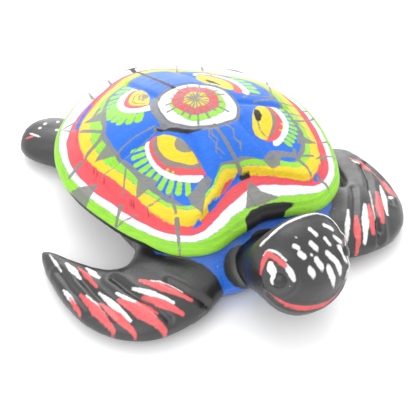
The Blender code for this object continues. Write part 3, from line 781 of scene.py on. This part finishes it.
def build_carapace(material):
    points, quads, triangles = stitched(carapace_rings())
    flat = points[:, :2] - SHELL_CENTRE
    angles = np.arctan2(flat[:, 0], -flat[:, 1]) % math.tau
    reach = np.hypot(flat[:, 0], flat[:, 1])
    plate, rim = outline_radius(PLATE_OUTLINE, angles), outline_radius(RIM_OUTLINE, angles)
    inward = plate - reach
    on_top = points[:, 2] > RIM_BOTTOM + ROUNDED_EDGE
    points[:, 2] += np.where(on_top & (inward > 0), scutes(points) * np.clip((inward + 0.3) / 1.5, 0, 1), 0)
    uneven = np.where(on_top & (inward < -PLATE_STEP_RUN), 0.10 * wander(points, 11, 6), 0)
    points[:, 2] += uneven * np.clip((rim - reach) / 3, 0, 1)
    u = (rim - reach) / (rim - plate - PLATE_STEP_RUN)
    u = np.where(points[:, 2] < RIM_BOTTOM + RIM_THICKNESS / 2, 0.0, u)
    degrees = (np.degrees(angles) + 180) % 360 - 180
    up_face = np.clip((points[:, 2] - RIM_BOTTOM - np.interp(degrees, *BLACK_UP_RIM)) / BLACK_FADE, 0, 1)
    paints = carapace_paint(points, u, inward, degrees, up_face)
    brush = np.column_stack([angles * BRUSH_ROUND, reach, points[:, 2]])
    faces = (quads, triangles)
    make_piece("carapace_painted", points, faces, material, "carapace", paints, brush)


# Body, head, limbs and tail, smoothed into one another


class Space:
    """A block of voxels that distance fields are worked out in. A field is negative inside a body."""

    def __init__(self, voxel, low, high):
        self.voxel = voxel
        self.start = tuple(int(math.floor(edge / voxel)) for edge in low)
        self.size = tuple(int(math.ceil((b - a) / voxel)) for a, b in zip(low, high))
        self.band = voxel * BAND_VOXELS

    def field(self, body):
        points, faces = body
        grid = vdb.FloatGrid.createLevelSetFromPolygons(
            points.astype(np.float32), triangles=faces.astype(np.uint32),
            transform=vdb.createLinearTransform(voxelSize=self.voxel), halfWidth=BAND_VOXELS,
        )
        field = np.full(self.size, self.band, np.float32)
        grid.copyToArray(field, ijk=self.start)
        return field

    def surface(self, field):
        """Points and quads of the surface where the field is zero."""
        grid = vdb.FloatGrid(self.band)
        grid.copyFromArray(field.astype(np.float32), ijk=self.start)
        grid.transform = vdb.createLinearTransform(voxelSize=self.voxel)
        points, _, quads = grid.convertToPolygons(isovalue=0.0, adaptivity=0.0)
        return np.asarray(points, float), np.asarray(quads, np.int64)

    def read(self, field, places):
        """The field's value at each place, between its voxels."""
        at = places / self.voxel - np.array(self.start)
        cell = np.clip(np.floor(at).astype(int), 0, np.array(self.size) - 2)
        t = np.clip(at - cell, 0, 1)
        total = np.zeros(len(places))
        for i in (0, 1):
            for j in (0, 1):
                for k in (0, 1):
                    weight = np.abs(1 - i - t[:, 0]) * np.abs(1 - j - t[:, 1]) * np.abs(1 - k - t[:, 2])
                    total += weight * field[cell[:, 0] + i, cell[:, 1] + j, cell[:, 2] + k]
        return total

    def laid_on(self, field, points):
        """The points of a line, close together and moved on to the surface."""
        points = np.asarray(points, float)
        lengths = np.concatenate([[0], np.cumsum(np.linalg.norm(np.diff(points, axis=0), axis=1))])
        places = np.linspace(0, lengths[-1], max(2, int(lengths[-1] / 0.9)))
        laid = np.column_stack([np.interp(places, lengths, points[:, axis]) for axis in range(3)])
        step = self.voxel
        for _ in range(6):
            slope = np.column_stack([
                self.read(field, laid + way) - self.read(field, laid - way) for way in np.eye(3) * step
            ]) / (2 * step)
            slope /= np.maximum(np.linalg.norm(slope, axis=1), 0.2)[:, None]
            laid -= slope * self.read(field, laid)[:, None]
        return laid


def smooth_min(a, b):
    h = np.maximum(BLEND - np.abs(a - b), 0) / BLEND
    return np.minimum(a, b) - h * h * BLEND / 4


CREST_HEIGHT, MOUTH_DEPTH, LIP_HEIGHT, EYELID_HEIGHT = 0.5, 0.9, 0.3, 0.7
# Lines in space near the head's skin, moved on to it before they are used
CREST = [
    (-14.9, -60.7, 33.7), (-12.1, -60.9, 36.3), (-6.3, -60.1, 38.6), (0, -60.2, 39.2), (6.6, -60.4, 38.6),
    (11.4, -62.2, 36.6), (13.2, -66, 34.6), (13, -71, 31.4), (11, -75.6, 27.4), (8.8, -78.6, 22.6),
]
MOUTH = [
    (-17.6, -71.4, 22.2), (-16.4, -74, 21.4), (-14, -76.8, 20), (-9.6, -79.2, 18.4), (-4.4, -80.3, 16.8),
    (0, -80.4, 15.8), (5, -79.4, 16.4), (8.4, -77.6, 18.2),
]
# Tool grooves in the front flippers, in the plan, and their depths
RIGHT_GROOVES = [
    ([(-58.2, -32.5), (-56, -40), (-52.6, -47.7), (-48, -57)], 1.1),
    ([(-42.6, -45.4), (-38, -52), (-33, -57.3)], 1),
    ([(-73.8, -16.7), (-72.6, -27), (-70.4, -38)], 0.7),
    ([(-67.9, -24.8), (-66.3, -35), (-62.6, -47)], 0.9),
]
LEFT_GROOVES = [
    ([(65.5, -22.5), (61, -31.5), (54.9, -39.7), (47.4, -52.2), (43.5, -58.5)], 1.1),
    ([(49, -35), (44, -42), (38, -49), (33, -57)], 0.8),
    ([(45.4, -55), (41.5, -62.5)], 0.8),
    ([(69.5, -20), (68, -33), (60, -48)], 0.8),
]


def eye_middle(side):
    return np.array([EYE_PLACE[0] * side + turned(EYE_PLACE[1]), EYE_PLACE[1], EYE_PLACE[2]])


def hand_modelling(places, normals, crest, mouth):
    """How far the modeller's tool and fingers moved the surface out or in."""
    out = 0.09 * wander(places, 13, 21) + 0.05 * wander(places, 5, 22)
    top = np.clip(normals[:, 2] * 3, 0, 1)
    for points, depth in RIGHT_GROOVES + LEFT_GROOVES:
        away = -stroke(places, points, 0.0)
        out -= top * depth * bell(away, 1.15)
        out += top * 0.3 * bell(away - 2.6, 1.4)
    off_crest, off_mouth = (-stroke(places, line, 0.0) for line in (crest, mouth))
    out += CREST_HEIGHT * bell(off_crest, 1.2)
    out -= MOUTH_DEPTH * bell(off_mouth, 0.8)
    out += LIP_HEIGHT * bell(off_mouth - 2.0, 1.0)
    for side in (-1, 1):
        away = np.linalg.norm(places - eye_middle(side), axis=1)
        out += EYELID_HEIGHT * bell(away - EYE_RADIUS - 1.5, 1.1)
    return out


# Brushwork round the eye, on the figure's right
BROW = [
    (-18, -66.3, 27.6), (-16.8, -64.9, 31), (-14.9, -64.5, 33.8), (-13.7, -67.4, 33.6), (-12, -70.6, 32.2),
]
BROW_EDGE = [(-16.2, -63.8, 32.6), (-14.4, -63.8, 34.6), (-12.8, -66.6, 35), (-11.4, -69.6, 33.6)]
BROW_TAIL = [(-11.8, -70.8, 32.4), (-11.4, -72.8, 31), (-11.4, -74.6, 29.4)]
EYE_DAB = [(-15.3, -67.4, 31.6), (-15.3, -68.6, 30.4), (-15.2, -69.6, 29.2)]
PELLET_DAB = [(-15.6, -68.6, 31), (-16.6, -69.8, 29), (-16.6, -70.9, 27.2)]


def faced(line, side):
    """A line drawn on the figure's right, or its like on the head's other side, where it sits lower."""
    line = np.array(line)
    if side < 0:
        return line
    middle = np.array([turned(-68.0), 0, 0])
    return (line - middle) * (-1, 1, 1) + middle + (1.5, 1.0, -5.0)


# The blue breast between the neck and the shoulders, in the plan
CHEST = [
    (-41, -32.5), (-29.6, -42), (-26.8, -46), (-25, -48.7), (-24.6, -51.8), (-25.5, -60), (25, -60),
    (24, -51), (27, -46.5), (32, -41), (41, -32.5), (41, 0), (-41, 0),
]
# Brush dabs in the plan: from, to and half width. RIGHT, LEFT and REAR are flippers
CROWN_DABS = [
    ((0.4, -65.4), (1.4, -67.8), 0.7), ((6.6, -65.6), (8.8, -66.8), 0.8),
    ((-1.8, -69.6), (-0.8, -71.3), 0.85), ((4, -69.6), (4.8, -71.2), 0.65), ((8.4, -69.6), (9.2, -70.8), 0.8),
    ((8.2, -72.6), (9, -74.6), 0.95), ((2.6, -73.4), (3.8, -74.6), 0.85), ((4.6, -75.2), (6, -77), 1),
    ((1.4, -76.8), (2.4, -78.4), 1.05), ((-2.2, -74), (-1.2, -75.6), 0.95),
    ((-5.4, -75.4), (-4.8, -76.2), 0.95), ((-3.3, -72.2), (-3.1, -72.5), 0.35),
    ((-6.9, -70.6), (-6, -71.8), 0.8), ((-7.4, -68), (-6.6, -69.2), 0.65), ((-5.6, -66), (-5.4, -66.3), 0.25),
]
RIGHT_WHITES = [
    ((-73.7, -6.2), (-72.8, -17.4), 0.55), ((-69.9, -14.6), (-68.2, -24.8), 1.3),
    ((-64.4, -21.6), (-62.4, -29.4), 1.2), ((-47.6, -42), (-39.8, -50.8), 1.15),
    ((-54.3, -41), (-44.2, -53), 1.2), ((-64.9, -35.6), (-59.8, -51.2), 1.2),
    ((-59.8, -39.6), (-52, -54.6), 1.1), ((-68.9, -34), (-66.6, -44.9), 0.9),
    ((-74.9, -25.6), (-73.4, -33.8), 0.7),
]
RIGHT_CORALS = [
    ((-66.8, -19.4), (-64.6, -33), 0.9), ((-50.8, -39.6), (-38.2, -54.4), 1.6),
    ((-52.8, -45.8), (-43, -57.2), 1.6), ((-60.2, -42.6), (-50.8, -58.6), 2.2),
    ((-55.2, -46.6), (-50.6, -53.6), 0.9), ((-66, -39.8), (-60.1, -55.2), 1.5),
    ((-70.7, -32), (-65.9, -50.4), 1.7), ((-74, -30.2), (-73.2, -38.8), 0.7),
]
LEFT_WHITES = [
    ((36.5, -46.8), (27.8, -57.6), 1.05), ((45.9, -46.2), (34.8, -60.4), 1.7),
    ((55.8, -38.2), (43.6, -56.2), 0.65), ((62.4, -37.6), (52, -53.6), 1.25), ((61.8, -44), (62.6, -45.4), 1),
    ((64.4, -16.4), (65.6, -20.4), 0.7), ((68.6, -26), (66.8, -36), 0.6),
]
LEFT_CORALS = [
    ((38.1, -50.2), (30.8, -61.4), 1.5), ((47.5, -46.8), (39.7, -59.2), 1.4),
    ((57.1, -41), (47.2, -56.2), 1.6), ((68.4, -27), (64.4, -44.8), 1.5), ((66.7, -19.6), (66.5, -30.6), 1.1),
    ((64.6, -14.5), (69.4, -24), 0.9),
]
REAR_WHITES = [
    ((-44, 67.2), (-44.6, 68.2), 0.9), ((-46.4, 61.4), (-47.2, 62.4), 0.9),
    ((-49.5, 69.8), (-50.3, 70.6), 0.9), ((-52.5, 68.4), (-53.3, 69.4), 0.9), ((-54.8, 62.4), (-58, 69), 0.6),
]
REAR_CORALS = [((-56.4, 65), (-60.8, 67.4), 0.7)]


def mirrored_dabs(dabs):
    return [((-a[0], a[1]), (-b[0], b[1]), wide) for a, b, wide in dabs]


def pressed(widest, thin, start, end, count):
    """Half widths along a line that the brush was pressed on most in its middle."""
    return thin + widest * np.sin(np.linspace(start, math.pi - end, count))


def skin_paint(places, normals, head_away, lay):
    """Distances in mm for each colour over the black of the head, limbs and body. head_away is how far a
    point is from the head, and lay puts a line on the skin."""
    top = normals[:, 2] * 6 + 1.5
    white, coral = [], []
    for into, dabs in (
        (white, RIGHT_WHITES + LEFT_WHITES + REAR_WHITES + mirrored_dabs(REAR_WHITES)),
        (coral, RIGHT_CORALS + LEFT_CORALS + REAR_CORALS + mirrored_dabs(REAR_CORALS)),
    ):
        into += [all_of(dab(places, a, b, wide), top) for a, b, wide in dabs]
    crown = all_of(places[:, 2] - 22.0, normals[:, 2] * 6)
    white += [all_of(stroke(places, [a, b], wide), crown) for a, b, wide in CROWN_DABS]
    white.append(stroke(places, lay(CREST), 0.42))
    mouth = lay(MOUTH)
    coral.append(stroke(places, mouth, pressed(0.95, 0.3, 0.1, 0.4, len(mouth))))
    for line, wide, into in (
        (BROW, 0.95, coral), (BROW_EDGE, 0.4, white), (BROW_TAIL, 0.95, white), (EYE_DAB, 1.5, white),
    ):
        for side in (-1, 1):
            laid = lay(faced(line, side))
            into.append(stroke(places, laid, wide * pressed(0.45, 0.55, 0.3, 0.3, len(laid))))
    scallops = any_of(spot(places, (-13.0, -50.0, 12.0), 8.4), spot(places, (-1.0, -48.0, 17.0), 8.2))
    chest = patch(places, CHEST) + 0.4 * wander(places, 8, 31)
    blue = all_of(chest, head_away - 0.8, -scallops, places[:, 2] - 2.0)
    return {"paint_blue": blue, "paint_red": any_of(*coral), "paint_white": any_of(*white)}


def kept_part(points, faces):
    """The largest connected part of a mesh, so that no stray crumb stays."""
    label = np.arange(len(points))
    edges = np.concatenate([faces[:, [i, (i + 1) % faces.shape[1]]] for i in range(faces.shape[1])])
    while True:
        least = label.copy()
        np.minimum.at(least, edges[:, 0], label[edges[:, 1]])
        np.minimum.at(least, edges[:, 1], label[edges[:, 0]])
        least = least[least]
        if (least == label).all():
            break
        label = least
    main = np.bincount(label).argmax()
    keep = label == main
    new_index = np.cumsum(keep) - 1
    return points[keep], new_index[faces[keep[faces].all(axis=1)]]


def build_body(skin):
    belly = body_loft()
    limbs = {
        "head": trunk_loft(HEAD_STATIONS), "tail": trunk_loft(TAIL_STATIONS),
        "front_flipper_right": flipper_loft(FRONT_FLIPPER_STATIONS, -1),
        "front_flipper_left": flipper_loft(FRONT_FLIPPER_STATIONS, 1, LEFT_FLIPPER_SHIFT, LEFT_FLIPPER_WEB),
        "rear_flipper_right": flipper_loft(REAR_FLIPPER_STATIONS, -1),
        "rear_flipper_left": flipper_loft(REAR_FLIPPER_STATIONS, 1),
    }
    rest = ["belly_shell", "tail", "rear_flipper_right", "rear_flipper_left"]
    build_pieces(Space(*WHOLE_SPACE), belly, limbs, rest, skin)
    front = ["head", "front_flipper_right", "front_flipper_left"]
    build_pieces(Space(*FRONT_SPACE), belly, {name: limbs[name] for name in front}, front, skin)


def build_pieces(space, belly, limbs, names, skin):
    """Makes the named pieces of one clay skin over the belly and the limbs."""
    heights = (np.arange(space.size[2]) + space.start[2]) * space.voxel
    fields = {"belly_shell": space.field(belly)}
    whole = fields["belly_shell"]
    for name, limb in limbs.items():
        fields[name] = space.field(limb)
        whole = smooth_min(whole, fields[name])
    whole = np.maximum(whole, -heights.astype(np.float32))
    crest, mouth = space.laid_on(whole, CREST), space.laid_on(whole, MOUTH)
    deepest = 0.1 - space.band
    for name in names:
        others = np.minimum.reduce([field for label, field in fields.items() if label != name])
        share = (fields[name] - others) / 2
        if name != "belly_shell":
            share = np.where((fields[name] < deepest) & (others < deepest), OVERLAP + 1, share)
        under = SINK * np.clip(share / (0.5 * OVERLAP), 0, 1)
        base, faces = kept_part(*space.surface(np.maximum(whole + under, share - OVERLAP)))
        base, faces = outward(base, faces)
        normals = normals_of(base, faces)
        moved = hand_modelling(base, normals, crest, mouth) * np.clip(base[:, 2] / 2, 0, 1)
        points = base + normals * moved[:, None]
        points[:, 2] = np.maximum(points[:, 2], 0.0)
        head_away = space.read(fields.get("head", whole), base)
        paints = skin_paint(base, normals, head_away, lambda line: space.laid_on(whole, line))
        brush = np.column_stack([base[:, 0] * 0.35 + base[:, 1] * 0.2, base[:, 1], base[:, 2]])
        make_piece(f"{name}_painted", points, (faces,), skin, name, paints, brush)


def normals_of(points, faces):
    total = np.zeros_like(points)
    corners = points[faces]
    across = np.cross(corners[:, 2] - corners[:, 0], corners[:, 3] - corners[:, 1])
    for i in range(4):
        np.add.at(total, faces[:, i], across)
    return total / np.maximum(np.linalg.norm(total, axis=1), 1e-12)[:, None]


def build_eyes(material):
    """Pressed pellets: balls with a slightly uneven skin."""
    rows, turns = 40, 64
    for side, word in ((-1, "right"), (1, "left")):
        angles = np.arange(turns) * math.tau / turns
        rings = []
        for tilt in np.linspace(-88, 88, rows):
            lift, wide = math.sin(math.radians(tilt)), math.cos(math.radians(tilt))
            around = np.column_stack([np.full(turns, lift), wide * np.cos(angles), wide * np.sin(angles)])
            rings.append(around)
        points, faces = loft(rings)
        ways = points / np.linalg.norm(points, axis=1)[:, None]
        points = eye_middle(side) + ways * EYE_RADIUS * (1 + 0.012 * wander(ways * 4, 3, 41 + side))[:, None]
        points, faces = outward(points, faces)
        paints = {"paint_white": stroke(points, faced(PELLET_DAB, side), (1.2, 1.7, 1.0))}
        name = f"eye_{word}"
        make_piece(f"{name}_painted", points, (faces,), material, name, paints, ways * 4)


# Materials

COLOURS = {
    "blue": (0.012, 0.13, 0.6), "green": (0.255, 0.58, 0.03), "lime": (0.22, 0.66, 0.05),
    "red": (0.7, 0.075, 0.085), "yellow": (0.72, 0.53, 0.012), "white": (0.8, 0.79, 0.78),
    "grey": (0.19, 0.19, 0.18),
    "black": (0.012, 0.012, 0.013), "skin black": (0.008, 0.008, 0.009), "eye black": (0.01, 0.01, 0.011),
}


SPECK_COLOUR = (0.55, 0.55, 0.5)
# From the first layer brushed on to the last
SHELL_LAYERS = [
    ("green", 0.95, 0.22), ("white", 0.9, 0.22), ("red", 0.95, 0.22), ("yellow", 0.95, 0.2),
    ("blue", 1.0, 0.2), ("lime", 1.0, 0.18), ("grey", 0.8, 0.18), ("black", 1.0, 0.25),
]
SKIN_LAYERS = [("blue", 0.95, 0.3), ("white", 0.9, 0.25), ("red", 0.9, 0.25)]
EYE_LAYERS = [("white", 0.9, 0.25)]


class Nodes:
    """Short calls for making a material's nodes."""

    def __init__(self, name):
        self.material = bpy.data.materials.new(name)
        self.material.use_nodes = True
        self.tree = self.material.node_tree
        self.shader = self.tree.nodes["Principled BSDF"]

    def link(self, socket, value):
        if isinstance(value, bpy.types.NodeSocket):
            self.tree.links.new(value, socket)
        else:
            socket.default_value = value

    def math(self, operation, *values):
        node = self.tree.nodes.new("ShaderNodeMath")
        node.operation = operation
        for socket, value in zip(node.inputs, values):
            self.link(socket, value)
        return node.outputs[0]

    def attribute(self, name, output="Fac"):
        node = self.tree.nodes.new("ShaderNodeAttribute")
        node.attribute_name = name
        return node.outputs[output]

    def noise(self, vector, scale, detail=2.0, roughness=0.5):
        node = self.tree.nodes.new("ShaderNodeTexNoise")
        self.link(node.inputs["Vector"], vector)
        node.inputs["Scale"].default_value = scale
        node.inputs["Detail"].default_value = detail
        node.inputs["Roughness"].default_value = roughness
        return node.outputs["Fac"]

    def ramp(self, value, low, high, out_low=0.0, out_high=1.0):
        node = self.tree.nodes.new("ShaderNodeMapRange")
        self.link(node.inputs["Value"], value)
        limits = {"From Min": low, "From Max": high, "To Min": out_low, "To Max": out_high}
        for name, number in limits.items():
            node.inputs[name].default_value = number
        return node.outputs["Result"]

    def mix(self, share, first, second):
        node = self.tree.nodes.new("ShaderNodeMix")
        node.data_type = "RGBA"
        self.link(node.inputs["Factor"], share)
        for socket, value in ((node.inputs["A"], first), (node.inputs["B"], second)):
            self.link(socket, value if isinstance(value, bpy.types.NodeSocket) else (*value, 1.0))
        return node.outputs["Result"]

    def bump(self, height):
        node = self.tree.nodes.new("ShaderNodeBump")
        node.inputs["Strength"].default_value = 1.0
        node.inputs["Distance"].default_value = MM
        self.link(node.inputs["Height"], height)
        self.link(self.shader.inputs["Normal"], node.outputs["Normal"])


def painted(name, base, layers, roughness, specks=0.0, gloss=0.5):
    """Acrylic brushed on in layers. A layer is (colour, how well it covers, its edge in mm), and it shows
    where the mesh's attribute of that colour is positive."""
    n = Nodes(name)
    place = n.tree.nodes.new("ShaderNodeTexCoord").outputs["Object"]
    fine = n.noise(place, 1400.0, 3.0)
    wobble = n.math("MULTIPLY", n.math("SUBTRACT", n.noise(place, 520.0, 3.0, 0.6), 0.5), 0.9)
    streak = n.noise(n.attribute("brush", "Vector"), 1.3, 4.0, 0.6)
    thin = n.ramp(streak, 0.3, 0.7)
    base = COLOURS[base]
    colour = n.mix(thin, [c * 0.88 for c in base], [min(1.0, c * 1.1 + 0.002) for c in base])
    height = n.math("MULTIPLY", streak, 0.10)
    height = n.math("ADD", height, n.math("MULTIPLY", fine, 0.035))
    for layer, cover, edge in layers:
        rgb = COLOURS[layer]
        away = n.math("ADD", n.attribute(f"paint_{layer}"), wobble)
        mask = n.math("MULTIPLY", n.ramp(away, -edge, edge), n.ramp(streak, 0.25, 0.6, cover, 1.0))
        shade = n.mix(thin, [c * 0.86 for c in rgb], [min(1.0, c * 1.08) for c in rgb])
        colour = n.mix(mask, colour, shade)
        height = n.math("ADD", height, n.math("MULTIPLY", mask, 0.07))
    if specks:
        dots = n.tree.nodes.new("ShaderNodeTexVoronoi")
        n.link(dots.inputs["Vector"], place)
        dots.inputs["Scale"].default_value = 260.0
        near = n.ramp(dots.outputs["Distance"], 0.035, 0.055, 1.0, 0.0)
        picked = n.ramp(n.noise(place, 90.0), 0.56, 0.62)
        colour = n.mix(n.math("MULTIPLY", n.math("MULTIPLY", near, picked), specks), colour, SPECK_COLOUR)
    n.link(n.shader.inputs["Base Color"], colour)
    uneven = n.noise(place, 160.0, 4.0, 0.6)
    n.link(n.shader.inputs["Roughness"], n.ramp(uneven, 0.3, 0.7, roughness - 0.05, roughness + 0.08))
    n.shader.inputs["Specular IOR Level"].default_value = gloss
    n.shader.inputs["Coat Weight"].default_value = 0.4 * gloss
    n.shader.inputs["Coat Roughness"].default_value = 0.35
    n.bump(height)
    return n.material


# Floor, lights and camera

CAMERA_AZIMUTH, CAMERA_ELEVATION, CAMERA_ROLL = -29.9, 43.1, 1.1
CAMERA_TARGET, CAMERA_AWAY, CAMERA_LENS = (-11.4, -18.5, 14.6), 238.9, 51.8


def back_of(azimuth, elevation):
    """The direction from the figure towards a viewer at these angles."""
    a, e = math.radians(azimuth), math.radians(elevation)
    return Vector((math.sin(a) * math.cos(e), -math.cos(a) * math.cos(e), math.sin(e)))


def place_camera():
    data = bpy.data.cameras.new("camera")
    data.lens, data.sensor_width = CAMERA_LENS, 36.0
    camera = bpy.data.objects.new("camera", data)
    bpy.context.scene.collection.objects.link(camera)
    back = back_of(CAMERA_AZIMUTH, CAMERA_ELEVATION)
    right = Vector((0, 0, 1)).cross(back).normalized()
    up = back.cross(right)
    roll = math.radians(CAMERA_ROLL)
    right, up = right * math.cos(roll) + up * math.sin(roll), up * math.cos(roll) - right * math.sin(roll)
    target = Vector(np.array(CAMERA_TARGET) + SHIFT) * MM
    turn = Matrix((right, up, back)).transposed().to_4x4()
    camera.matrix_world = Matrix.Translation(target + back * CAMERA_AWAY * MM) @ turn
    bpy.context.scene.camera = camera


def softbox(name, azimuth, elevation, away, size, power):
    data = bpy.data.lights.new(name, "AREA")
    data.shape, data.size, data.energy = "SQUARE", size, power
    light = bpy.data.objects.new(name, data)
    bpy.context.scene.collection.objects.link(light)
    back = back_of(azimuth, elevation)
    light.location = back * away
    light.rotation_euler = back.to_track_quat("Z", "Y").to_euler()


def stage():
    bpy.ops.mesh.primitive_plane_add(size=6.0)
    floor = bpy.context.object
    floor.name = "floor"
    n = Nodes("floor_paper")
    place = n.tree.nodes.new("ShaderNodeTexCoord").outputs["Object"]
    n.link(n.shader.inputs["Base Color"], n.mix(n.noise(place, 3.0), (0.93, 0.93, 0.93), (0.95, 0.95, 0.95)))
    n.shader.inputs["Roughness"].default_value = 0.9
    n.shader.inputs["Specular IOR Level"].default_value = 0.1
    floor.data.materials.append(n.material)
    world = bpy.data.worlds.new("studio")
    world.use_nodes = True
    world.node_tree.nodes["Background"].inputs["Color"].default_value = (1.0, 1.0, 1.0, 1.0)
    world.node_tree.nodes["Background"].inputs["Strength"].default_value = 1.2
    bpy.context.scene.world = world
    bpy.context.scene.view_settings.view_transform = "Standard"
    softbox("overhead", 155.0, 62.0, 1.0, 0.8, 3.0)
    softbox("window", 156.0, 24.0, 1.1, 1.1, 7.0)
    softbox("front_fill", -60.0, 35.0, 1.2, 1.0, 4.0)


place_camera()
stage()
build_carapace(painted("carapace_paint", "blue", SHELL_LAYERS, 0.46, gloss=0.25))
build_body(painted("skin_paint", "skin black", SKIN_LAYERS, 0.36, specks=0.9, gloss=0.7))
build_eyes(painted("eye_paint", "eye black", EYE_LAYERS, 0.16))
